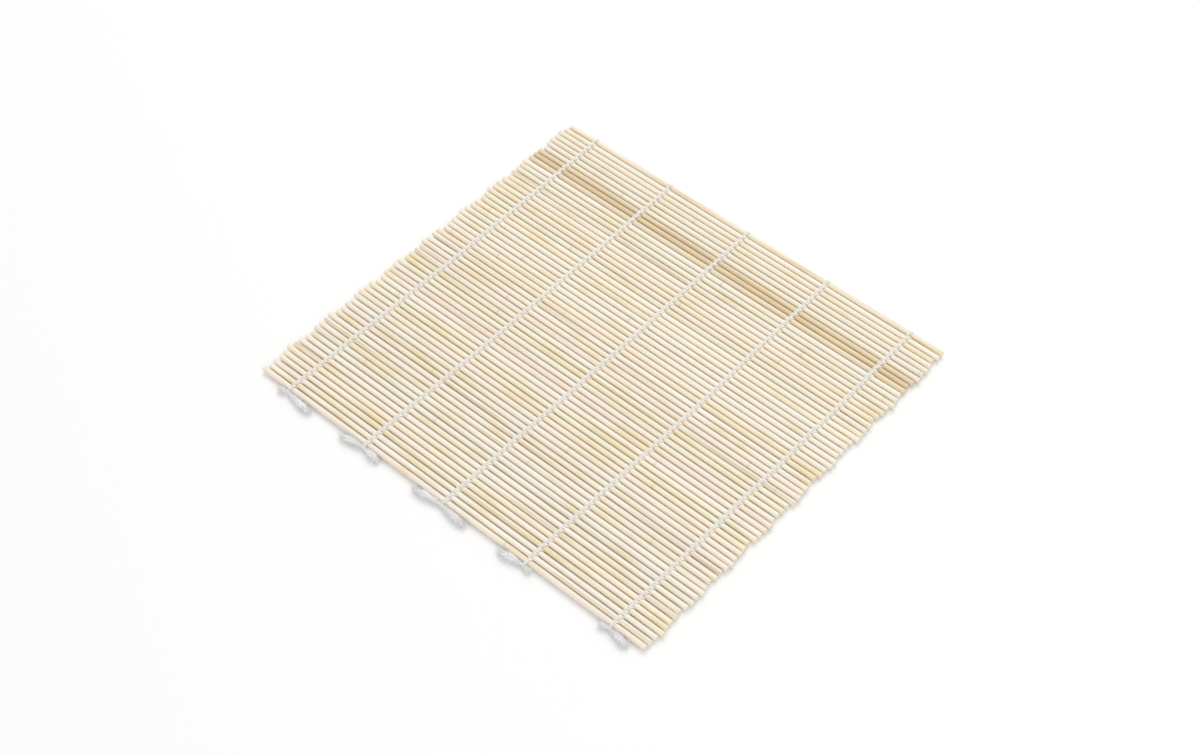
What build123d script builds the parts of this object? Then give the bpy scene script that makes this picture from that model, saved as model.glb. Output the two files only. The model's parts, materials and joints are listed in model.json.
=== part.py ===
# Sushi rolling mat: round bamboo slats lying side by side, held by five pairs of twined cotton strands.
# X runs along the slats, Y along the strings with the knotted edge at -Y, and Z is up.
# The origin is the centre of the footprint, on the table. All lengths are in millimetres.
from build123d import *
import os
from math import atan2, degrees, hypot, radians, sin, tan

# Slats
slat_length = 240.0
slat_diameter = 2.6
slat_chamfer = 0.25
ragged_depth = 2.5

# Leaves: the slats that turn as one, three to a leaf at the knotted edge and two to a leaf beyond
trio_slat_count = 3
pair_slat_count = 2
trio_count = 7
pair_count = 22

# Strings: two strands each, which change sides between all slats. The plies of a strand lie side by side
string_count = 5
string_spacing = 50.0
strand_ply_count = 2
ply_diameter = 0.55
ply_squeeze = 0.03
strand_clearance = 0.125
strand_flat = 0.055

# Cuts in the strands where two leaves meet, wide enough for the turn of a leaf
leaf_gap = 0.13
relief_angle = 19.0
cut_overrun = 1.0

# Knots and frayed thread ends at the knotted edge
knot_radius = 1.2
knot_seat_share = 0.7
knot_clearance = 0.125
wrap_radius = 1.0
wrap_thickness = 0.8
wrap_tilt = 32.0
tail_length = 16.0
tail_reach = 3.4
tuft_radius = 1.5
tail_run_shares = [(1.0, -0.3), (0.65, -0.8), (0.95, -1.0), (-0.85, 0.25), (0.7, -0.3)]
tail_reach_shares = [(1.0, 0.75), (0.75, 0.85), (0.9, 0.8), (0.8, 0.7), (0.95, 0.7)]

# Worked out from the sizes above
slat_radius = slat_diameter / 2
ply_radius = ply_diameter / 2
ply_step = ply_diameter - ply_squeeze
crossing = strand_ply_count * ply_step / 2
pitch = slat_diameter + ply_diameter + 2 * strand_clearance
axis_height = hypot(pitch, 2 * crossing) / 2 + ply_radius - strand_flat
leaf_sizes = [trio_slat_count] * trio_count + [pair_slat_count] * pair_count
slat_count = sum(leaf_sizes)
string_places = [(i - (string_count - 1) / 2) * string_spacing for i in range(string_count)]
ply_places = [(i - (strand_ply_count - 1) / 2) * ply_step for i in range(strand_ply_count)]

front_reach = slat_radius + tail_reach + tuft_radius
back_reach = pitch / 2 + ply_radius
whole_depth = front_reach + (slat_count - 1) * pitch + back_reach
first_slat_y = front_reach - whole_depth / 2
strand_end_y = first_slat_y - slat_radius - strand_clearance
knot_y = strand_end_y - knot_clearance - knot_seat_share * knot_radius


def slat_y(index):
    """The Y of the centre line of a slat, counted from the knotted edge."""
    return first_slat_y + index * pitch


def ragged_share(index, phase):
    """A slow wave with a quick one on it, from 0 to 1, for the uneven line of the slat ends."""
    return 0.5 + 0.3 * sin(0.9 * index + phase) + 0.2 * sin(2.3 * index + 2 * phase)


def slat_setbacks(phase):
    """How far each slat end lies behind the longest one."""
    shares = [ragged_share(index, phase) for index in range(slat_count)]
    return [(share - min(shares)) * ragged_depth for share in shares]


left_setbacks = slat_setbacks(0)
right_setbacks = slat_setbacks(2)


def make_slat(index):
    """One round bamboo stick with broken edges at its two cut ends."""
    left = -slat_length / 2 + left_setbacks[index]
    right = slat_length / 2 - right_setbacks[index]
    stick = Cylinder(slat_radius, right - left)
    stick = chamfer(stick.edges().filter_by(GeomType.CIRCLE), slat_chamfer)
    return Pos((left + right) / 2, slat_y(index), axis_height) * Rot(0, 90, 0) * stick


def ply_arc(start_x, end_x, side):
    """Half a ring of ply, over a slat for side 1 or under it for side -1, between the gaps beside it."""
    lean = end_x - start_x
    half_ring = Solid.make_torus(hypot(pitch, lean) / 2, ply_radius, major_angle=180)
    half_ring = Rot(0, 0, degrees(atan2(pitch, lean))) * Rot(90 * side, 0, 0) * half_ring
    return Pos((start_x + end_x) / 2, 0, axis_height) * half_ring


def leaf_space(size, is_first, is_last):
    """The room that a leaf's strands keep to, seen from the side, with its first slat at Y 0."""
    top = 2 * axis_height + strand_flat + cut_overrun
    wedge = tan(radians(relief_angle))
    near = leaf_gap / 2 - pitch / 2
    far = (size - 1) * pitch + pitch / 2 - leaf_gap / 2
    front = [(near + axis_height * wedge, 0), (near, axis_height), (near + (top - axis_height) * wedge, top)]
    back = [(far - (top - axis_height) * wedge, top), (far, axis_height), (far - axis_height * wedge, 0)]
    if is_first:
        front = [(strand_end_y - first_slat_y, 0), (strand_end_y - first_slat_y, top)]
    if is_last:
        back = [(far + ply_diameter + cut_overrun, top), (far + ply_diameter + cut_overrun, 0)]
    outline = Plane.YZ * make_face(Polyline(*front, *back, close=True))
    return extrude(outline, amount=2 * crossing + ply_diameter, both=True)


def make_lashing(size, is_first, is_last):
    """Both strands of one string round the slats of one leaf, with the first slat at Y 0."""
    arcs = []
    for index in range(size):
        end = 0 if is_last and index == size - 1 else crossing
        for place in ply_places:
            arcs.append(Pos(place, index * pitch, 0) * ply_arc(-crossing, end, 1))
            arcs.append(Pos(place, index * pitch, 0) * ply_arc(crossing, -end, -1))
    strands = Part() + arcs
    return strands & leaf_space(size, is_first, is_last)


def make_knot():
    """A hard little knot with two wraps of strand round it, flat where the strands come out of it."""
    ball = Part() + Sphere(knot_radius)
    for tilt in (wrap_tilt, -wrap_tilt):
        ball += Rot(90 + tilt, 0, 0) * Torus(wrap_radius, wrap_thickness / 2)
    seat = knot_seat_share * knot_radius
    block = 2 * (wrap_radius + wrap_thickness)
    behind = Pos(0, seat, 0) * Box(block, block, block, align=(Align.CENTER, Align.MIN, Align.CENTER))
    return Pos(0, knot_y, axis_height) * (ball - behind)


def make_tail(run_share, reach_share):
    """One frayed thread end, which swells from the knot to its tuft and comes down to the table."""
    middle = Vector(0, knot_y, axis_height)
    tip_y = first_slat_y - slat_radius - tail_reach * reach_share
    tip = Vector(tail_length * run_share, tip_y, tuft_radius)
    root = middle + (tip - middle).normalized() * (wrap_radius + wrap_thickness / 2 + knot_clearance)
    path = tip - root
    cone = Cone(wrap_thickness / 2, tuft_radius, path.length, align=(Align.CENTER, Align.CENTER, Align.MIN))
    return Plane(root, z_dir=path) * cone + Pos(*tip) * Sphere(tuft_radius)


def at_strings(shape):
    """A copy of a shape at every string."""
    return [Pos(x, 0, 0) * shape for x in string_places]


def save(name, shapes):
    """Writes one sub-part, its solids kept apart."""
    solids = [solid for shape in shapes for solid in shape.solids()]
    export_step(Compound(label=name, children=solids), f"parts/{name}.step")


def main():
    os.makedirs("parts", exist_ok=True)
    middle_trio = make_lashing(trio_slat_count, False, False)
    middle_pair = make_lashing(pair_slat_count, False, False)
    start = 0
    for number, size in enumerate(leaf_sizes, 1):
        is_first = number == 1
        is_last = number == len(leaf_sizes)
        lashing = middle_trio if size == trio_slat_count else middle_pair
        if is_first or is_last:
            lashing = make_lashing(size, is_first, is_last)
        save(f"slats_{number:02}", [make_slat(index) for index in range(start, start + size)])
        save(f"lashing_{number:02}", at_strings(Pos(0, slat_y(start), 0) * lashing))
        start += size

    tails = []
    for x, runs, reaches in zip(string_places, tail_run_shares, tail_reach_shares):
        for run_share, reach_share in zip(runs, reaches):
            tails.append(Pos(x, 0, 0) * make_tail(run_share, reach_share))
    save("end_knots", at_strings(make_knot()))
    save("thread_tails", tails)
    print(f"{slat_count} slats, pitch {pitch:.3f}, axis height {axis_height:.4f}, first slat at Y {first_slat_y:.3f}")


main()
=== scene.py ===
# %% [markdown]
# # A bamboo rolling mat
# Round bamboo sticks lie side by side, and five strings of two cotton strands each hold them together.
# The strands go over and under the sticks and change places in every gap, which is called twining.
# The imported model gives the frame: which slats turn together, where they bend, and every size used here.

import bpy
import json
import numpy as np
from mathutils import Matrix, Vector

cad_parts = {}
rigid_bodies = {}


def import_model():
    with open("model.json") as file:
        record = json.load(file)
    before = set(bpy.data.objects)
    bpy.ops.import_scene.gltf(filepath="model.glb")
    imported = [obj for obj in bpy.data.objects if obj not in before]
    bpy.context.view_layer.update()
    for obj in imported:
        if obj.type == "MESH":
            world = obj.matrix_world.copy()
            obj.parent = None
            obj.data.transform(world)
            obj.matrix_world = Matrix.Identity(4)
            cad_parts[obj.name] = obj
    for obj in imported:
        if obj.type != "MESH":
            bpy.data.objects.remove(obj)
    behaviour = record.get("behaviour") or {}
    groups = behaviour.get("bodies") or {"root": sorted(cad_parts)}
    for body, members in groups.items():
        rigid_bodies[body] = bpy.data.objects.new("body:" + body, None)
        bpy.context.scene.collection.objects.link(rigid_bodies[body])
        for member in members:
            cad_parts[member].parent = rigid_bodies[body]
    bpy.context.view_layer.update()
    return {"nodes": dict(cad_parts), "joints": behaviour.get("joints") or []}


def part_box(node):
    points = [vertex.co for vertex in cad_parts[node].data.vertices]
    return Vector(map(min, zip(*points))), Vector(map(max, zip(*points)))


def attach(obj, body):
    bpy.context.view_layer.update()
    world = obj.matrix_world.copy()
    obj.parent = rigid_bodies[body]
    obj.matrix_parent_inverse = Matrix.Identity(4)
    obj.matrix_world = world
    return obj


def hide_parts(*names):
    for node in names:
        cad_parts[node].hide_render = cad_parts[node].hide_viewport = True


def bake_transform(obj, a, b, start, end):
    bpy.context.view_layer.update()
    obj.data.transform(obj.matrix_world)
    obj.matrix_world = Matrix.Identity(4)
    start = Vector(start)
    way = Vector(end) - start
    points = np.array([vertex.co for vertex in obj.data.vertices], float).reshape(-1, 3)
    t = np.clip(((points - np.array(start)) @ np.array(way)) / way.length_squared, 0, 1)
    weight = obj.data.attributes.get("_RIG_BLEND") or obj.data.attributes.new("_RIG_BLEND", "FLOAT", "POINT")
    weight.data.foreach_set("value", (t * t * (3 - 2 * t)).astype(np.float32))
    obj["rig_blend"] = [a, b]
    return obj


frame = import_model()

# %% Tools and units
import json
import math
import random

import bmesh
import bpy
from mathutils import Matrix, Vector, noise

mm = 0.001

# %% [markdown]
# ## Reading the mat from the frame
# The mat bends at hinges, and the slats between two hinges are one leaf. A leaf has two or three slats.
# The slats' diameter, spacing and uneven ends come from the CAD solids, so nothing has to be fitted later.

# %% Leaves, slats and strings
joints = frame["joints"]
leaf_bodies = [joints[0]["parent"]] + [joint["child"] for joint in joints]
axis_height = joints[0]["pos_m"][2]


def node_name(kind, leaf):
    return f"{kind}_{leaf + 1:02}"


last_low, last_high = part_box(node_name("slats", len(leaf_bodies) - 1))
slat_diameter = last_high.z - last_low.z
slat_radius = slat_diameter / 2
pitch = last_high.y - last_low.y - slat_diameter

slats = []
leaf_slats = []
for leaf, body in enumerate(leaf_bodies):
    low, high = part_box(node_name("slats", leaf))
    count = round((high.y - low.y - slat_diameter) / pitch) + 1
    corners = [vertex.co for vertex in frame["nodes"][node_name("slats", leaf)].data.vertices]
    for place in range(count):
        y = low.y + slat_radius + place * pitch
        reach = [co.x for co in corners if abs(co.y - y) < slat_radius]
        slats.append({"index": len(slats), "y": y, "left": min(reach), "right": max(reach)})
    leaf_slats.append(slats[-count:])

knot_low, knot_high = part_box("end_knots")
knot_y = (knot_low.y + knot_high.y) / 2
string_count = 5
string_spacing = 50 * mm
string_places = [(i - (string_count - 1) / 2) * string_spacing for i in range(string_count)]
outer_string = string_places[-1]
knot_radius = knot_high.x - outer_string
print(len(slats), "slats in", len(leaf_bodies), "leaves, pitch", round(pitch / mm, 3), "mm")
print("strings at", [round(x / mm, 1) for x in string_places], "mm")

# %% [markdown]
# ## Helpers for meshes and materials
# A finished piece is an object at the origin with its place in its mesh, riding on one body of the frame.
# Thread is drawn as tubes along lines, and a tube that thins loses that share of its radius by its end.
# Short functions for nodes keep each material readable: one line makes a node, another wires it.

# %% Making an object from a bmesh or from curves
def object_from_bmesh(name, bm, materials):
    """A mesh object at the origin. The bmesh is freed."""
    mesh = bpy.data.meshes.new(name)
    bm.to_mesh(mesh)
    bm.free()
    for material in materials:
        mesh.materials.append(material)
    piece = bpy.data.objects.new(name, mesh)
    bpy.context.scene.collection.objects.link(piece)
    return piece


def mesh_from_lines(name, lines, sides, material):
    """Tubes of 4 sides or more along lines of (points, radius, closed, thins), made as one curve."""
    curve = bpy.data.curves.new(name, "CURVE")
    curve.dimensions = "3D"
    curve.bevel_depth = 1
    curve.use_fill_caps = True
    curve.bevel_resolution = sides // 2 - 2
    for points, radius, closed, thins in lines:
        spline = curve.splines.new("POLY")
        spline.points.add(len(points) - 1)
        for number, (target, point) in enumerate(zip(spline.points, points)):
            target.co = (*point, 1)
            share = number / (len(points) - 1)
            target.radius = radius * (1 - thins * share)
        spline.use_cyclic_u = closed
    maker = bpy.data.objects.new(name + "_lines", curve)
    bpy.context.scene.collection.objects.link(maker)
    mesh = bpy.data.meshes.new_from_object(maker.evaluated_get(bpy.context.evaluated_depsgraph_get()))
    bpy.data.objects.remove(maker)
    bpy.data.curves.remove(curve)
    mesh.name = name
    mesh.materials.clear()
    mesh.materials.append(material)
    piece = bpy.data.objects.new(name, mesh)
    bpy.context.scene.collection.objects.link(piece)
    return piece


def face_count(pieces):
    return sum(len(piece.data.polygons) for piece in pieces)


# %% Making nodes
# A Mix node has sockets of the same name for each kind of data. These are the ones for colours.
color_a, color_b, color_mixed = 6, 7, 2


def add_node(tree, kind, **settings):
    """A new node, with its properties and its inputs set by name."""
    node = tree.nodes.new(kind)
    for key, value in settings.items():
        if hasattr(node, key):
            setattr(node, key, value)
        else:
            node.inputs[key.replace("_", " ")].default_value = value
    return node


def wire(tree, *pairs):
    """Links each (output, input) pair."""
    for output, target in pairs:
        tree.links.new(output, target)


def new_material(name):
    """An empty node material with a Principled shader, and its tree."""
    material = bpy.data.materials.new(name)
    material.use_nodes = True
    tree = material.node_tree
    tree.nodes.clear()
    shader = add_node(tree, "ShaderNodeBsdfPrincipled")
    output = add_node(tree, "ShaderNodeOutputMaterial")
    wire(tree, (shader.outputs["BSDF"], output.inputs["Surface"]))
    return material, tree, shader


def color_ramp(tree, stops):
    """A colour ramp with (place, grey or colour) stops."""
    node = tree.nodes.new("ShaderNodeValToRGB")
    elements = node.color_ramp.elements
    while len(elements) < len(stops):
        elements.new(1)
    for element, (place, value) in zip(elements, stops):
        element.position = place
        element.color = (*value, 1) if isinstance(value, tuple) else (value, value, value, 1)
    return node


# %% [markdown]
# ## Fibres that run one way
# Bamboo has straight fibres along the stick, and cotton has short fibres along the thread.
# Both come from noise that is stretched in one direction, so one node group serves both materials.
# It puts out only a value. The shaders stay in the materials.

# %% The streak group
def make_streak_group():
    """Noise stretched along X: Along and Across are features a metre, and Seed moves the pattern."""
    group = bpy.data.node_groups.new("streaks", "ShaderNodeTree")
    group.interface.new_socket("Vector", in_out="INPUT", socket_type="NodeSocketVector")
    for name, value in (("Along", 40.0), ("Across", 3000.0), ("Seed", 0.0), ("Detail", 2.0)):
        socket = group.interface.new_socket(name, in_out="INPUT", socket_type="NodeSocketFloat")
        socket.default_value = value
    group.interface.new_socket("Value", in_out="OUTPUT", socket_type="NodeSocketFloat")
    inside = group.nodes.new("NodeGroupInput")
    outside = group.nodes.new("NodeGroupOutput")
    stretch = add_node(group, "ShaderNodeCombineXYZ")
    scale = add_node(group, "ShaderNodeVectorMath", operation="MULTIPLY")
    shift = add_node(group, "ShaderNodeVectorMath", operation="ADD")
    apart = add_node(group, "ShaderNodeCombineXYZ")
    cloud = add_node(group, "ShaderNodeTexNoise", Scale=1.0, Roughness=0.55)
    wire(
        group,
        (inside.outputs["Along"], stretch.inputs["X"]),
        (inside.outputs["Across"], stretch.inputs["Y"]),
        (inside.outputs["Across"], stretch.inputs["Z"]),
        (inside.outputs["Vector"], scale.inputs[0]),
        (stretch.outputs[0], scale.inputs[1]),
        (inside.outputs["Seed"], apart.inputs["X"]),
        (scale.outputs[0], shift.inputs[0]),
        (apart.outputs[0], shift.inputs[1]),
        (shift.outputs[0], cloud.inputs["Vector"]),
        (inside.outputs["Detail"], cloud.inputs["Detail"]),
        (cloud.outputs["Fac"], outside.inputs["Value"]),
    )
    return group


streak_group = make_streak_group()


def add_streaks(tree, vector, seed, along, across, detail):
    """Places the streak group, and returns its value."""
    node = add_node(tree, "ShaderNodeGroup", node_tree=streak_group)
    node.inputs["Along"].default_value = along
    node.inputs["Across"].default_value = across
    node.inputs["Detail"].default_value = detail
    wire(tree, (vector, node.inputs["Vector"]))
    if seed is not None:
        wire(tree, (seed, node.inputs["Seed"]))
    return node.outputs["Value"]


print("group", streak_group.name, "with", len(streak_group.nodes), "nodes")

# %% [markdown]
# ## Bamboo
# The sticks are pale cream, and no two are quite alike: some are straw yellow, some faintly pink or green,
# and a few are tanned from the outer part of the cane. Where a stick crosses a joint of the cane, it has
# a short darker ring. One material serves them all: each slat carries its own colour, a seed, a share of
# tan and the place of its ring as mesh attributes, and the material adds fine grain and dark flecks.

# %% The side of a slat
tan_stretch = (0.66, 0.47, 0.26)
yellow_stretch = (0.88, 0.74, 0.45)
fleck_brown = (0.45, 0.30, 0.16)
node_mark = (0.72, 0.55, 0.34)
node_reach = 1.1 * mm


def make_bamboo():
    """Own colour, then yellow and tan stretches, grain, flecks and the ring, laid one over the other."""
    material, tree, shader = new_material("bamboo side")
    place = add_node(tree, "ShaderNodeTexCoord").outputs["Object"]
    own_colour = add_node(tree, "ShaderNodeAttribute", attribute_name="slat_colour").outputs["Color"]
    seed = add_node(tree, "ShaderNodeAttribute", attribute_name="slat_seed").outputs["Fac"]
    tan_share = add_node(tree, "ShaderNodeAttribute", attribute_name="slat_tan").outputs["Fac"]
    node_place = add_node(tree, "ShaderNodeAttribute", attribute_name="slat_node").outputs["Fac"]

    yellow_streaks = add_streaks(tree, place, seed, along=35, across=130, detail=2)
    yellow = color_ramp(tree, [(0.52, 0.0), (0.7, 0.7)])
    yellowed = add_node(tree, "ShaderNodeMix", data_type="RGBA")
    yellowed.inputs[color_b].default_value = (*yellow_stretch, 1)
    tan_streaks = add_streaks(tree, place, seed, along=14, across=700, detail=2)
    stretch = color_ramp(tree, [(0.5, 0.0), (0.72, 1.0)])
    tan_mask = add_node(tree, "ShaderNodeMath", operation="MULTIPLY", use_clamp=True)
    tanned = add_node(tree, "ShaderNodeMix", data_type="RGBA")
    tanned.inputs[color_b].default_value = (*tan_stretch, 1)

    fine = add_streaks(tree, place, seed, along=70, across=7000, detail=3)
    fine_shade = color_ramp(tree, [(0.3, 0.9), (0.62, 1.0)])
    grained = add_node(tree, "ShaderNodeMix", data_type="RGBA", blend_type="MULTIPLY")
    grained.inputs[0].default_value = 0.8

    specks = add_streaks(tree, place, seed, along=260, across=5200, detail=1)
    fleck = color_ramp(tree, [(0.74, 0.0), (0.8, 0.55)])
    flecked = add_node(tree, "ShaderNodeMix", data_type="RGBA")
    flecked.inputs[color_b].default_value = (*fleck_brown, 1)

    along = add_node(tree, "ShaderNodeSeparateXYZ")
    from_node = add_node(tree, "ShaderNodeMath", operation="SUBTRACT")
    distance = add_node(tree, "ShaderNodeMath", operation="ABSOLUTE")
    near_node = add_node(tree, "ShaderNodeMapRange", From_Max=node_reach, To_Min=0.5, To_Max=0.0)
    marked = add_node(tree, "ShaderNodeMix", data_type="RGBA")
    marked.inputs[color_b].default_value = (*node_mark, 1)

    gloss = add_node(tree, "ShaderNodeMapRange", To_Min=0.42, To_Max=0.62)
    bump = add_node(tree, "ShaderNodeBump", Strength=0.35, Distance=0.05 * mm)
    wire(
        tree,
        (tan_streaks, stretch.inputs["Fac"]),
        (stretch.outputs["Color"], tan_mask.inputs[0]),
        (tan_share, tan_mask.inputs[1]),
        (tan_mask.outputs[0], tanned.inputs[0]),
        (yellow_streaks, yellow.inputs["Fac"]),
        (yellow.outputs["Color"], yellowed.inputs[0]),
        (own_colour, yellowed.inputs[color_a]),
        (yellowed.outputs[color_mixed], tanned.inputs[color_a]),
        (fine, fine_shade.inputs["Fac"]),
        (tanned.outputs[color_mixed], grained.inputs[color_a]),
        (fine_shade.outputs["Color"], grained.inputs[color_b]),
        (specks, fleck.inputs["Fac"]),
        (fleck.outputs["Color"], flecked.inputs[0]),
        (grained.outputs[color_mixed], flecked.inputs[color_a]),
        (place, along.inputs[0]),
        (along.outputs["X"], from_node.inputs[0]),
        (node_place, from_node.inputs[1]),
        (from_node.outputs[0], distance.inputs[0]),
        (distance.outputs[0], near_node.inputs["Value"]),
        (near_node.outputs["Result"], marked.inputs[0]),
        (flecked.outputs[color_mixed], marked.inputs[color_a]),
        (marked.outputs[color_mixed], shader.inputs["Base Color"]),
        (fine, gloss.inputs["Value"]),
        (gloss.outputs["Result"], shader.inputs["Roughness"]),
        (fine, bump.inputs["Height"]),
        (bump.outputs["Normal"], shader.inputs["Normal"]),
    )
    return material


bamboo = make_bamboo()


# %% The cut end of a slat
def make_end_grain():
    """Sawn bamboo shows its fibre bundles as small dark dots, each across the end."""
    material, tree, shader = new_material("bamboo end grain")
    place = add_node(tree, "ShaderNodeTexCoord").outputs["Object"]
    own_colour = add_node(tree, "ShaderNodeAttribute", attribute_name="slat_colour").outputs["Color"]
    dots = add_node(tree, "ShaderNodeTexVoronoi", Scale=3200.0)
    dot = color_ramp(tree, [(0.18, 0.5), (0.42, 0.93)])
    shade = add_node(tree, "ShaderNodeMix", data_type="RGBA", blend_type="MULTIPLY")
    shade.inputs[0].default_value = 0.9
    bump = add_node(tree, "ShaderNodeBump", Strength=0.5, Distance=0.06 * mm)
    shader.inputs["Roughness"].default_value = 0.8
    wire(
        tree,
        (place, dots.inputs["Vector"]),
        (dots.outputs["Distance"], dot.inputs["Fac"]),
        (own_colour, shade.inputs[color_a]),
        (dot.outputs["Color"], shade.inputs[color_b]),
        (shade.outputs[color_mixed], shader.inputs["Base Color"]),
        (dots.outputs["Distance"], bump.inputs["Height"]),
        (bump.outputs["Normal"], shader.inputs["Normal"]),
    )
    return material


end_grain = make_end_grain()
print("materials", bamboo.name, "and", end_grain.name)

# %% [markdown]
# ## Cotton
# The strings are undyed cotton, matt and a little grey beside the bamboo. Fine noise stands for its fibres,
# and a little sheen gives the soft rim that cotton has. Some light passes through a thread, which lifts its
# shaded side. The loose ends are the same cotton, only whiter, and single fibres are too thin to need that.

# %% Cotton for the strings and for the frayed ends
glow_depth = 0.4 * mm


def make_cotton(name, pale, shaded, fineness, roughened, glow):
    """Cotton with a fineness in fibres a metre. glow is the share of light that passes into it."""
    material, tree, shader = new_material(name)
    place = add_node(tree, "ShaderNodeTexCoord").outputs["Object"]
    fibres = add_streaks(tree, place, None, along=fineness, across=fineness * 2, detail=3)
    colour = color_ramp(tree, [(0.32, shaded), (0.6, pale)])
    bump = add_node(tree, "ShaderNodeBump", Strength=roughened, Distance=0.04 * mm)
    shader.inputs["Roughness"].default_value = 0.95
    shader.inputs["Sheen Weight"].default_value = 0.25
    shader.inputs["Sheen Roughness"].default_value = 0.6
    shader.inputs["Subsurface Weight"].default_value = glow
    shader.inputs["Subsurface Radius"].default_value = (1, 1, 1)
    shader.inputs["Subsurface Scale"].default_value = glow_depth
    wire(
        tree,
        (fibres, colour.inputs["Fac"]),
        (colour.outputs["Color"], shader.inputs["Base Color"]),
        (fibres, bump.inputs["Height"]),
        (bump.outputs["Normal"], shader.inputs["Normal"]),
    )
    return material


cotton = make_cotton(
    "twisted cotton",
    pale=(0.98, 0.95, 0.88),
    shaded=(0.89, 0.85, 0.77),
    fineness=3500,
    roughened=0.5,
    glow=0.5,
)
loose_cotton = make_cotton(
    "loose cotton fibre",
    pale=(1.0, 1.0, 1.0),
    shaded=(0.98, 0.98, 0.98),
    fineness=5000,
    roughened=0.05,
    glow=0,
)
packed_cotton = make_cotton(
    "packed cotton",
    pale=(1.0, 1.0, 1.0),
    shaded=(0.97, 0.97, 0.97),
    fineness=2500,
    roughened=0.3,
    glow=0.5,
)
print("materials", cotton.name + ",", loose_cotton.name, "and", packed_cotton.name)

# %% [markdown]
# ## The slats
# A slat is a stick turned round and sawn off, so it starts as a cylinder with its edges broken.
# Real sticks aren't perfect: they swell and thin a little, lean to an oval, bow between the strings and
# stray where nothing holds their ends. Rings cut across the stick let its points follow those changes.

# %% The shape of a slat
stick_radius = slat_radius * 1.045
slat_sides = 20
slat_rings = 56
edge_break = 0.22 * mm
swell_share = 0.022
oval_share = 0.018
bow = 0.07 * mm
stray = 0.3 * mm
saw_slope = 0.12
swell_waves, bow_waves, saw_waves = 30, 18, 50  # waves a metre


def wave(index, phase, x, per_metre):
    """Smooth noise from -1 to 1 along a slat, different for each slat and phase."""
    return noise.noise(Vector((x * per_metre, index * 3.7 + phase * 11.3, phase * 5.1)))


def weather(slat, co):
    """Where a point of the true cylinder lies on the real stick."""
    index = slat["index"]
    across = Vector((0, co.y - slat["y"], co.z - axis_height))
    turn = math.atan2(across.z, across.y)
    swell = swell_share * wave(index, 1, co.x, swell_waves)
    oval = oval_share * math.cos(2 * turn + index)
    across *= 1 + swell + oval
    middle = Vector((co.x, slat["y"], axis_height))
    middle.y += bow * wave(index, 2, co.x, bow_waves)
    middle.z += bow * wave(index, 3, co.x, bow_waves)
    loose = max(0, abs(co.x) - outer_string) / (slat["right"] - outer_string)
    side = 1 if co.x > 0 else 2
    middle.y += stray * loose * noise.noise(Vector((index * 1.9, side * 7.7, 0)))
    middle.z += stray * loose * noise.noise(Vector((index * 1.3, side * 4.1, 3)))
    return middle + across


def make_slat(slat):
    """One stick as its own bmesh, its cut ends in material 1."""
    bm = bmesh.new()
    length = slat["right"] - slat["left"]
    middle = Vector(((slat["left"] + slat["right"]) / 2, slat["y"], axis_height))
    lie_down = Matrix.Translation(middle) @ Matrix.Rotation(math.pi / 2, 4, "Y")
    bmesh.ops.create_cone(
        bm,
        cap_ends=True,
        segments=slat_sides,
        radius1=stick_radius,
        radius2=stick_radius,
        depth=length,
        matrix=lie_down,
    )
    rims = [edge for edge in bm.edges if abs(edge.verts[0].co.x - edge.verts[1].co.x) < length / 2]
    bmesh.ops.bevel(bm, geom=rims, offset=edge_break, segments=2, profile=0.5, affect="EDGES", material=-1)
    long_edges = [edge for edge in bm.edges if edge.calc_length() > length / 2]
    bmesh.ops.subdivide_edges(bm, edges=long_edges, cuts=slat_rings, use_grid_fill=True)
    for face in bm.faces:
        is_end = len(face.verts) == slat_sides
        face.material_index = 1 if is_end else 0
        face.smooth = not is_end
    for vertex in bm.verts:
        end = slat["right"] if vertex.co.x > middle.x else slat["left"]
        if abs(vertex.co.x - end) < edge_break * 1.5:
            inwards = -1 if end > middle.x else 1
            slope = saw_slope * wave(slat["index"], 4, end, saw_waves)
            vertex.co.x += inwards * abs(slope) * slat_radius + slope * (vertex.co.z - axis_height)
    for vertex in bm.verts:
        vertex.co = weather(slat, vertex.co)
    return bm


# %% The colour of each slat
cream = Vector((0.97, 0.90, 0.76))
straw = Vector((0.98, 0.87, 0.68))
blush = Vector((0.98, 0.87, 0.75))
peach = Vector((0.98, 0.84, 0.70))
green_straw = Vector((0.95, 0.91, 0.72))
pale = Vector((0.98, 0.92, 0.80))
tanned_cane = Vector((0.76, 0.61, 0.40))
everyday_tones = [cream, cream, cream, pale, pale, straw, blush, peach, green_straw]
tone_blend = 0.6
tone_dimming = 0.95
everyday_tan = [0.0, 0.1, 0.15, 0.25, 0.6]
tanned_slats = {len(slats) - 8: 0.75, len(slats) - 9: 1.0, len(slats) - 10: 0.45}
tanned_stretches = 0.6
ring_range = 2
colour_dice = random.Random(41)


def slat_look(slat):
    """A slat's colour, its share of tan stretches, and its ring's place, which is often off the slat."""
    tone = colour_dice.choice(everyday_tones)
    other = colour_dice.choice(everyday_tones)
    colour = tone.lerp(other, colour_dice.uniform(0, tone_blend)) * colour_dice.uniform(tone_dimming, 1.0)
    tan = colour_dice.choice(everyday_tan)
    share = tanned_slats.get(slat["index"], 0)
    ring = colour_dice.uniform(-ring_range, ring_range) * slat["right"]
    return colour.lerp(tanned_cane, share), max(tan, share * tanned_stretches), ring


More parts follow.
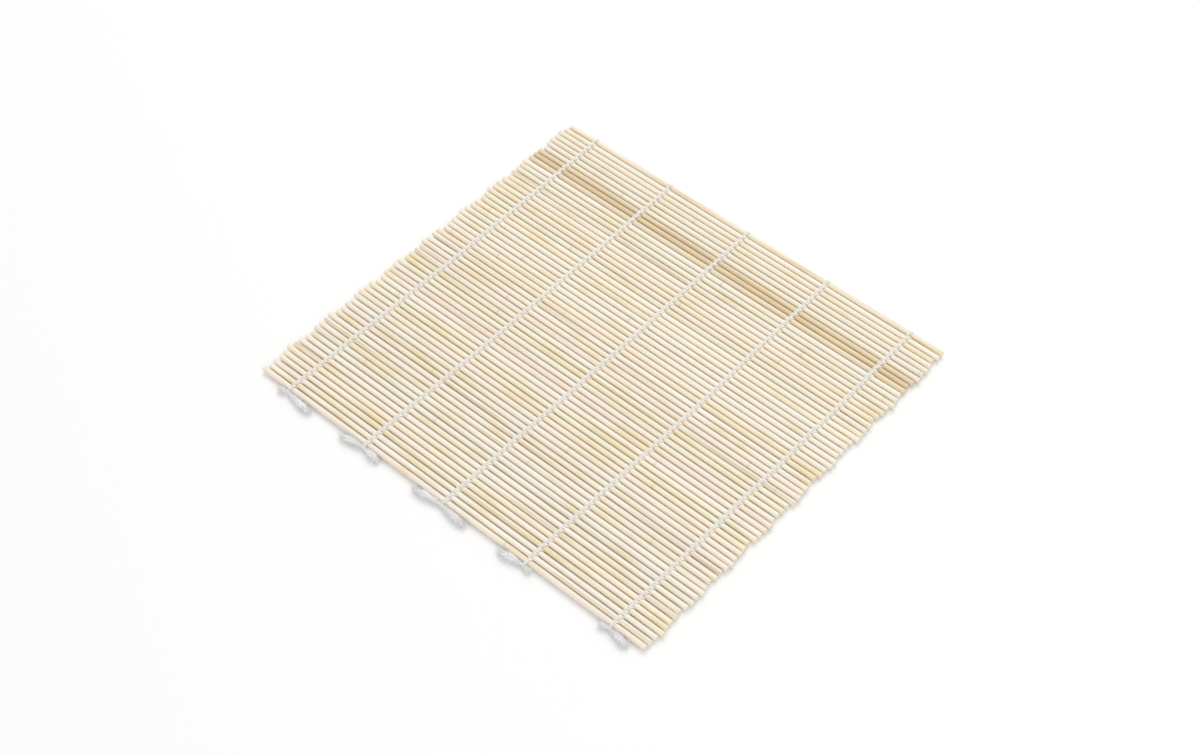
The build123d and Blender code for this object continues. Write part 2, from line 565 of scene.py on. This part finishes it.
def make_leaf_of_slats(leaf):
    """The two or three slats of a leaf as one piece, each with its own colour, seed and tan."""
    whole = bmesh.new()
    looks = []
    for slat in leaf_slats[leaf]:
        bm = make_slat(slat)
        part = bpy.data.meshes.new("slat part")
        bm.to_mesh(part)
        bm.free()
        whole.from_mesh(part)
        looks += [(slat, *slat_look(slat))] * len(part.vertices)
        bpy.data.meshes.remove(part)
    piece = object_from_bmesh(f"bamboo_slats_{leaf + 1:02}", whole, [bamboo, end_grain])
    attributes = piece.data.attributes
    attributes.new("slat_colour", "FLOAT_COLOR", "POINT")
    for name in ("slat_seed", "slat_tan", "slat_node"):
        attributes.new(name, "FLOAT", "POINT")
    for number, (slat, colour, tan, ring) in enumerate(looks):
        attributes["slat_colour"].data[number].color = (*colour, 1)
        attributes["slat_seed"].data[number].value = slat["index"] * 17.31
        attributes["slat_tan"].data[number].value = tan
        attributes["slat_node"].data[number].value = ring
    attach(piece, leaf_bodies[leaf])
    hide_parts(node_name("slats", leaf))
    return piece


slat_pieces = [make_leaf_of_slats(leaf) for leaf in range(len(leaf_bodies))]
print(len(slat_pieces), "leaves of slats,", face_count(slat_pieces), "faces")

# %% [markdown]
# ## The strings
# Each string is two strands that twine: one passes over a slat while the other passes under it, and
# they swap in the gap with a half turn. A strand is three plies twisted together, so a tube is drawn for
# each ply. The path comes from a formula in slat numbers, so every piece of string meets the next one
# exactly. Short stray fibres lift off the plies here and there, as on any cotton thread.

# %% The path of a strand
strand_width = 1.95 * mm
strand_thickness = 0.62 * mm
ply_radius = 0.26 * mm
shoulder = 0.72
shoulder_swell = 0.35
ply_count = 3
ply_sides = 6
crossing = strand_width / 2 - 0.06 * mm
rise = stick_radius + strand_thickness / 2
turns_per_slat = 2
steps_per_slat = 20
string_bow = 1.0 * mm
wander = 0.5 * mm
first_slat_y = slats[0]["y"]
last_slat = len(slats) - 1
string_end = last_slat + 0.5


def strand_point(string, strand, place):
    """The centre of a strand. place counts slats: whole at a slat's middle, and half between two slats."""
    index = min(max(round(place), 0), last_slat)
    turn = (place - index + 0.5) * math.pi
    side = 1 if (index + strand) % 2 == 0 else -1
    lean = math.cos(turn)
    if index == 0:
        lean = (lean - 1) / 2
    if index == last_slat:
        lean = (lean + 1) / 2
    x = string_places[string] - side * crossing * lean
    held = math.sin(math.pi * min(max((place + 0.5) / len(slats), 0), 1))
    x += held * (string_bow + wander * noise.noise(Vector((place * 0.11, string * 9.1, 0))))
    swing = math.copysign(abs(math.cos(turn)) ** shoulder, math.cos(turn))
    y = first_slat_y + index * pitch - pitch / 2 * swing
    return Vector((x, y, axis_height + side * rise * abs(math.sin(turn)) ** shoulder))


def ply_point(string, strand, ply, place):
    """The centre of one ply, which winds round its strand."""
    step = 0.5 / steps_per_slat
    before = max(place - step, -0.5)
    after = min(place + step, string_end)
    along = (strand_point(string, strand, after) - strand_point(string, strand, before)).normalized()
    beside = (Vector((1, 0, 0)) - along * along.x).normalized()
    angle = 2 * math.pi * (turns_per_slat * place + ply / ply_count)
    wide = strand_width / 2 - ply_radius
    thick = strand_thickness / 2 * (1 + shoulder_swell * math.sin(2 * math.pi * place) ** 2) - ply_radius
    out = beside * math.cos(angle) * wide + along.cross(beside) * math.sin(angle) * thick
    return strand_point(string, strand, place) + out


def ply_run(string, strand, ply, start, end):
    """Points of one ply from one place to another."""
    steps = round((end - start) * steps_per_slat)
    return [ply_point(string, strand, ply, start + (end - start) * n / steps) for n in range(steps + 1)]


# %% Stray fibres
hairs_per_slat = 5
hair_length = 1.5 * mm
hair_radius = 0.028 * mm
hair_steps = 5
hair_taper = 0.5
hair_lift = (0.1, 0.6)
hair_lean = 0.6
hair_curl = 0.4
shortest_hair = 0.4
hair_dice = random.Random(5)


def hair(string, place):
    """A short fibre that lifts off a ply and curls away from the slat."""
    root = ply_point(string, hair_dice.randrange(2), hair_dice.randrange(ply_count), place)
    index = min(max(round(place), 0), last_slat)
    outwards = (root - Vector((root.x, first_slat_y + index * pitch, axis_height))).normalized()
    lift = outwards * hair_dice.uniform(*hair_lift)
    way = lift + Vector((hair_dice.uniform(-1, 1), hair_dice.uniform(-hair_lean, hair_lean), 0))
    curl = Vector([hair_dice.uniform(-1, 1) for _ in range(3)])
    reach = hair_length * hair_dice.uniform(shortest_hair, 1)
    points = []
    for step in range(hair_steps):
        share = step / (hair_steps - 1)
        point = root + (way * share + curl * share ** 2 * hair_curl) * reach
        point.z = max(point.z, hair_radius)
        points.append(point)
    return points


# %% One piece of string for each leaf
def make_string_run(leaf):
    """All five strings from the middle of this leaf's first slat to the same place in the next leaf."""
    start = leaf_slats[leaf][0]["index"] if leaf else -0.5
    is_last = leaf == len(leaf_bodies) - 1
    end = string_end if is_last else leaf_slats[leaf + 1][0]["index"]
    lines = []
    for string in range(string_count):
        for ply in range(ply_count):
            runs = [ply_run(string, strand, ply, start, end) for strand in (0, 1)]
            if is_last:
                back = ply_run(string, 1, -ply % ply_count, start, end)
                runs = [runs[0] + back[-2::-1]]
            lines += [(run, ply_radius, False, 0) for run in runs]
        for _ in range(round((end - start) * hairs_per_slat)):
            lines.append((hair(string, hair_dice.uniform(start, end)), hair_radius, False, hair_taper))
    piece = mesh_from_lines(f"string_run_{leaf + 1:02}", lines, ply_sides, cotton)
    if is_last:
        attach(piece, leaf_bodies[leaf])
    else:
        hinge = Vector(joints[leaf]["pos_m"])
        half_gap = Vector((0, (pitch - slat_diameter) / 2, 0))
        near, far = leaf_bodies[leaf], leaf_bodies[leaf + 1]
        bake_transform(piece, near, far, start=hinge - half_gap, end=hinge + half_gap)
    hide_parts(node_name("lashing", leaf))
    return piece


string_pieces = [make_string_run(leaf) for leaf in range(len(leaf_bodies))]
print(len(string_pieces), "runs of string,", face_count(string_pieces), "faces")

# %% [markdown]
# ## The knots
# At the near edge the two strands of a string are tied together in a small overhand knot. A trefoil is that
# knot drawn as one closed line, so a plied strand that follows a trefoil looks like the real thing.

# %% Tying a knot
knot_steps = 110
knot_twists = 11
knot_depth_share = 1.5
knot_ply_offset = 0.22 * mm
trefoil_reach = 3
knot_tip = 0.5
knot_turn = 2
knot_dice = random.Random(7)


def trefoil(share):
    """A point of a trefoil about 3 units in radius, its axis along Y."""
    t = 2 * math.pi * share
    across = math.sin(t) + 2 * math.sin(2 * t)
    up = math.cos(t) - 2 * math.cos(2 * t)
    return Vector((across, -knot_depth_share * math.sin(3 * t), up))


def make_knot(string):
    """The knot of one string, its plies wound round a trefoil."""
    size = (knot_radius - ply_radius - knot_ply_offset) / trefoil_reach
    tipped = Matrix.Rotation(knot_dice.uniform(-knot_tip, knot_tip), 3, "X")
    lean = tipped @ Matrix.Rotation(knot_dice.uniform(0, knot_turn), 3, "Y")
    middle = Vector((string_places[string], knot_y, axis_height))
    lines = []
    for ply in range(ply_count):
        points = []
        for step in range(knot_steps):
            share = step / knot_steps
            along = (trefoil(share + 0.5 / knot_steps) - trefoil(share - 0.5 / knot_steps)).normalized()
            beside = along.cross(trefoil(share)).normalized()
            angle = 2 * math.pi * (knot_twists * share + ply / ply_count)
            out = beside * math.cos(angle) + along.cross(beside) * math.sin(angle)
            points.append(middle + lean @ (trefoil(share) * size + out * knot_ply_offset))
        lines.append((points, ply_radius, True, 0))
    piece = mesh_from_lines(f"knot_{string + 1}", lines, ply_sides, cotton)
    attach(piece, leaf_bodies[0])
    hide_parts("end_knots")
    return piece


knots = [make_knot(string) for string in range(string_count)]
print(len(knots), "knots")

# %% [markdown]
# ## The frayed ends
# Past its knot each strand is cut, and the cotton opens into a soft cloud that lies against the mat's edge.
# One tube can't show that, so each end is a soft ridged middle with many thin fibres grown through it.
# Long ones fan out from the knot as in a brush, and short ones curl. Points that would enter the edge slat
# or the table are moved out. Blender starts its vector noise from the clock, so the noise is given a seed,
# and every run grows the same tufts.

# %% Where the tufts lie
fibre_radius = 0.042 * mm
fibre_sides = 4
tuft_top = 2 * axis_height + 0.7 * mm
tail_corners = [vertex.co.copy() for vertex in frame["nodes"]["thread_tails"].data.vertices]
fray_dice = random.Random(23)
noise.seed_set(23)


def tail_tip(string, side):
    """The middle of the tuft that ends the CAD tail on one side of a knot."""
    middle = string_places[string]
    own = [co for co in tail_corners if 0 < (co.x - middle) * side < string_spacing / 2]
    reach = max((co.x - middle) * side for co in own)
    near_tip = [co for co in own if (co.x - middle) * side > reach - slat_radius]
    y, z = (sum(co[axis] for co in near_tip) / len(near_tip) for axis in (1, 2))
    return Vector((middle + side * (reach - slat_radius), y, z))


def keep_clear(point):
    """Moves a fibre's point out of the edge slat, and keeps it between the table and the tuft's top."""
    axis = Vector((point.x, first_slat_y, axis_height))
    room = stick_radius + 2 * fibre_radius
    if (point - axis).length < room:
        point = axis + (point - axis).normalized() * room
    point.z = min(max(point.z, fibre_radius), tuft_top)
    return point


# %% Growing the tufts
brush_fibres = 130
brush_steps = 12
brush_wave = 1.5 * mm
brush_waves = 4
brush_across, brush_up = 0.45, 0.5
brush_taper = 0.4
root_plies = 6
root_width = 0.4
root_ply_radius = ply_radius * 0.8
root_taper = 0.5
fluff_fibres = 120
fluff_steps = 9
fluff_step = 0.55 * mm
fluff_across = 2.9 * mm
fluff_up = 1.7 * mm
fluff_spread = 0.5
fluff_curl = (0.1, 0.55)
fluff_taper = 0.3
full_tufts_a_spacing = 4
knot_opening = 0.4
opening_power = 0.6
tuft_lift = 0.5 * mm
middle_reach = 0.95
middle_share = 0.62
ridge_share = 0.55
strand_share = 0.4
ragged_share = 0.3


def spot_in_tuft(start, tip, share, across, up):
    """A point at a share of the way along a tuft, which opens early. across and up are in tuft widths."""
    beside = Vector((start.y - tip.y, tip.x - start.x, 0)).normalized()
    width = min(1, (tip - start).length / (4 * fluff_across))
    opened = (knot_opening + (1 - knot_opening) * width) * share ** opening_power
    lift = tuft_lift * math.sin(math.pi * min(share, 1)) + up * fluff_up * opened
    return start.lerp(tip, share) + beside * across * fluff_across * opened + Vector((0, 0, lift))


def brush_fibre(start, tip, length_share, width):
    """A long fibre from the knot, which waves more the further it goes."""
    across, up = fray_dice.gauss(0, brush_across) * width, fray_dice.gauss(0, brush_up) * width
    phase = fray_dice.uniform(0, 100)
    points = []
    for step in range(brush_steps):
        share = step / (brush_steps - 1) * length_share
        wave_here = noise.noise_vector(Vector((share * brush_waves, phase, 0))) * brush_wave * share * width
        points.append(keep_clear(spot_in_tuft(start, tip, share, across, up) + wave_here))
    return points


def fluff_fibre(start, tip):
    """A short fibre that curls round a way of its own inside the tuft."""
    share = fray_dice.uniform(0.1, 1)
    across, up = fray_dice.gauss(0, fluff_spread), fray_dice.gauss(0, fluff_spread)
    point = spot_in_tuft(start, tip, share, across, up)
    heading = Vector((fray_dice.gauss(0, 1), fray_dice.gauss(0, 0.7), fray_dice.gauss(0, 0.4))).normalized()
    axis = Vector([fray_dice.gauss(0, 1) for _ in range(3)])
    curl = Matrix.Rotation(fray_dice.uniform(*fluff_curl), 3, axis)
    points = []
    for _ in range(fluff_steps):
        points.append(keep_clear(point))
        heading = curl @ heading
        point = point + heading * fluff_step
    return points


def add_middle(bm, start, tip):
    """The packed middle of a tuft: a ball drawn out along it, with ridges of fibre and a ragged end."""
    ball = bmesh.ops.create_icosphere(bm, subdivisions=5, radius=1)
    for vertex in ball["verts"]:
        along, across, up = vertex.co
        ridge = noise.noise(Vector((along * 1.2, across * 3, up * 3)) + tip / mm)
        strand = noise.noise(Vector((along * 3, across * 9, up * 9)) + tip / mm)
        swell = middle_share * (1 + ridge_share * ridge + strand_share * strand)
        share = middle_reach * (along + 1) / 2 * (1 + ragged_share * strand)
        vertex.co = keep_clear(spot_in_tuft(start, tip, share, across * swell, up * swell))


def make_tuft(string):
    """Both frayed ends of one string."""
    knot = Vector((string_places[string], knot_y, axis_height))
    lines = []
    middles = bmesh.new()
    for side in (-1, 1):
        tip = tail_tip(string, side)
        add_middle(middles, knot, tip)
        for _ in range(root_plies):
            ply = brush_fibre(knot, tip, fray_dice.uniform(0.3, 0.5), root_width)
            lines.append((ply, root_ply_radius, False, root_taper))
        for _ in range(brush_fibres):
            radius = fibre_radius * fray_dice.uniform(0.6, 1.2)
            fibre = brush_fibre(knot, tip, fray_dice.uniform(0.55, 1.15), 1)
            lines.append((fibre, radius, False, brush_taper))
        fullness = min(1, (tip - knot).length / string_spacing * full_tufts_a_spacing)
        for _ in range(round(fluff_fibres * fullness)):
            fibre = fluff_fibre(knot, tip)
            lines.append((fibre, fibre_radius * fray_dice.uniform(0.6, 1), False, fluff_taper))
    for face in middles.faces:
        face.material_index = 1
        face.smooth = True
    piece = mesh_from_lines(f"frayed_end_{string + 1}", lines, fibre_sides, loose_cotton)
    piece.data.materials.append(packed_cotton)
    middles.from_mesh(piece.data)
    middles.to_mesh(piece.data)
    middles.free()
    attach(piece, leaf_bodies[0])
    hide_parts("thread_tails")
    return piece


tufts = [make_tuft(string) for string in range(string_count)]
print(len(tufts), "frayed ends,", face_count(tufts), "faces")

# %% [markdown]
# ## Floor and light
# The mat lies on a plain pale table under large soft lamps, so its shadow is only a breath of grey.
# The lamps are just strong enough to bring the table close to white without washing out the bamboo.
# The view transform is Standard, so that a colour renders as it is written.

# %% The table
floor_reach = 3.0


def make_floor():
    """The table under the mat, which is part of the stage and not of the mat."""
    bm = bmesh.new()
    bmesh.ops.create_grid(bm, x_segments=4, y_segments=4, size=floor_reach)
    material, tree, shader = new_material("table white")
    shader.inputs["Base Color"].default_value = (0.93, 0.93, 0.93, 1)
    shader.inputs["Roughness"].default_value = 0.9
    shader.inputs["Specular IOR Level"].default_value = 0.1
    floor = object_from_bmesh("table", bm, [material])
    return floor


floor = make_floor()

# %% Lamps and world
def add_lamp(name, place, size, power, colour):
    """A square area lamp that points at the middle of the mat."""
    light = bpy.data.lights.new(name, "AREA")
    light.energy = power
    light.size = size
    light.color = colour
    lamp = bpy.data.objects.new(name, light)
    bpy.context.scene.collection.objects.link(lamp)
    lamp.location = place
    lamp.rotation_euler = (-Vector(place)).to_track_quat("-Z", "Y").to_euler()
    return lamp


add_lamp("window", place=(-0.5, 0.9, 1.5), size=1.2, power=12.5, colour=(1.0, 0.99, 0.98))
add_lamp("fill", place=(0.9, -0.7, 1.3), size=1.5, power=7.5, colour=(1.0, 1.0, 1.0))
world = bpy.data.worlds.new("white room")
world.use_nodes = True
world.node_tree.nodes["Background"].inputs["Color"].default_value = (1.0, 1.0, 1.0, 1)
world.node_tree.nodes["Background"].inputs["Strength"].default_value = 0.66
bpy.context.scene.world = world
bpy.context.scene.view_settings.view_transform = "Standard"

# %% [markdown]
# ## The camera
# The photograph was taken from above the near right corner. The five straight strings, the even gaps
# between the slats and the mat's corners give its lens and its place: a long lens, a metre away and
# fifty degrees up.

# %% Placing the camera
photo_width = 1200
focal_pixels = 2171
camera_target = Vector((4.9 * mm, -6.6 * mm, axis_height))
camera_distance = 1024 * mm
camera_azimuth = math.radians(-48.6)
camera_elevation = math.radians(50.5)
camera_roll = math.radians(-0.3)


def place_camera():
    """The scene's camera, which looks at the target from its azimuth and elevation, a little rolled."""
    lens = bpy.data.cameras.new("camera")
    lens.sensor_width = 36
    lens.lens = focal_pixels / photo_width * lens.sensor_width
    lens.clip_start = 0.01
    camera = bpy.data.objects.new("camera", lens)
    bpy.context.scene.collection.objects.link(camera)
    flat = math.cos(camera_elevation)
    x, y = flat * math.cos(camera_azimuth), flat * math.sin(camera_azimuth)
    back = Vector((x, y, math.sin(camera_elevation)))
    right = Vector((0, 0, 1)).cross(back).normalized()
    up = back.cross(right)
    turned_right = right * math.cos(camera_roll) + up * math.sin(camera_roll)
    turned_up = up * math.cos(camera_roll) - right * math.sin(camera_roll)
    axes = Matrix((turned_right, turned_up, back)).transposed().to_4x4()
    camera.matrix_world = Matrix.Translation(camera_target + back * camera_distance) @ axes
    bpy.context.scene.camera = camera
    return camera


camera = place_camera()
print("lens", round(camera.data.lens, 1), "mm, camera at", [round(value, 3) for value in camera.location])
